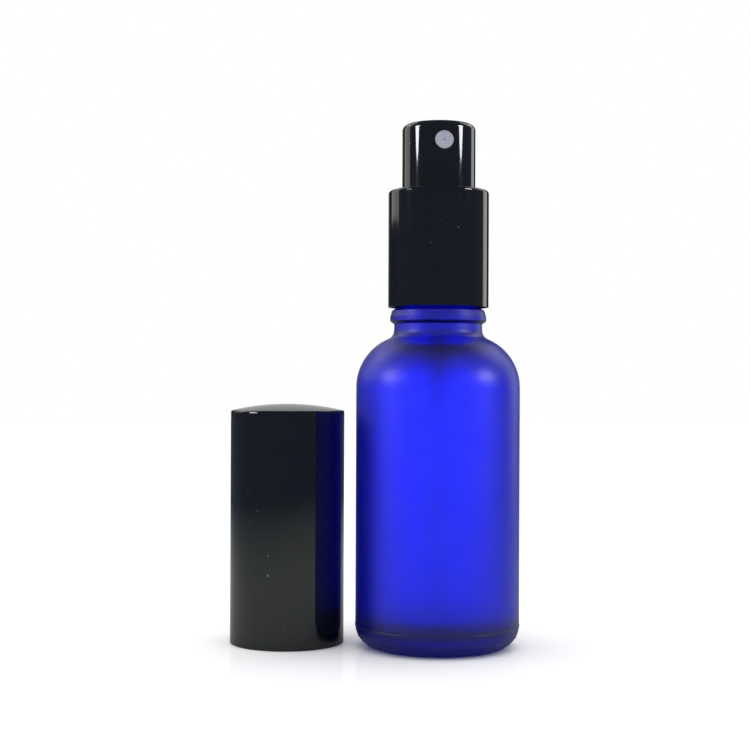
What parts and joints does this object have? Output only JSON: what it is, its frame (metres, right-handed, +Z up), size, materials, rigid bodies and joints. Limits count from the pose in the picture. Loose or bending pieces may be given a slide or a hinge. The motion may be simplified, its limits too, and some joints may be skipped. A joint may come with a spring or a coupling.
{
  "type": "perfume atomiser",
  "caption": "Frosted cylindrical glass bottle with a screw-on fine-mist pump, press button, dip tube and a loose cylindrical overcap standing beside it.",
  "frame": {"origin": "centre of the bottle's resting ring, on the surface it stands on", "axes": "+Z up along the bottle's axis; the nozzle faces -Y; the cap stands on the -X side"},
  "size_m": [0.0581, 0.036, 0.1052],
  "materials": {
    "frosted_glass": "frosted",
    "black_metal": "polished",
    "black_plastic": "matte",
    "natural_plastic": "satin",
    "white_plastic": "satin",
    "nozzle_plastic": "satin",
    "soft_seal": "matte",
    "steel": "bright",
    "clear_tube": "clear"
  },
  "bodies": {
    "bottle": {"bottle": "frosted_glass"},
    "pump": {"pump_housing": "natural_plastic", "neck_gasket": "soft_seal", "pump_retainer": "natural_plastic", "stem_seal": "soft_seal", "return_spring": "steel", "dip_tube": "clear_tube"},
    "closure": {"closure_liner": "black_plastic", "collar_shell": "black_metal"},
    "plunger": {"pump_stem": "natural_plastic", "piston": "white_plastic", "piston_seat": "white_plastic"},
    "actuator": {"actuator_core": "black_plastic", "actuator_shell": "black_metal", "nozzle_insert": "nozzle_plastic"},
    "ball": {"inlet_ball": "steel"},
    "cap": {"cap_shell": "black_metal", "cap_liner": "natural_plastic"}
  },
  "joints": [
    {"name": "pump_rise", "type": "slide", "parent": "bottle", "child": "pump", "axis": [0, 0, 1], "range_m": [0, 0.0045]},
    {"name": "closure_turn", "type": "hinge", "parent": "pump", "child": "closure", "pos_m": [0, 0, 0.075], "axis": [0, 0, 1], "range_deg": [0, 540]},
    {"name": "actuator_press", "type": "slide", "parent": "pump", "child": "plunger", "axis": [0, 0, -1], "range_m": [0, 0.0055], "stiffness_N_per_m": 1350, "springref_m": -0.001, "deforming": ["return_spring"]},
    {"name": "actuator_swivel", "type": "hinge", "parent": "plunger", "child": "actuator", "pos_m": [0, 0, 0.098], "axis": [0, 0, 1], "continuous": true},
    {"name": "inlet_ball_lift", "type": "slide", "parent": "pump", "child": "ball", "axis": [0, 0, 1], "range_m": [0, 0.0008]},
    {"name": "cap_lift", "type": "slide", "parent": "bottle", "child": "cap", "axis": [0, 0, 1], "range_m": [0, 0.11]}
  ],
  "couplings": [
    {"joint": "pump_rise", "follows": "closure_turn", "m_per_rad": 0.00047746}
  ]
}
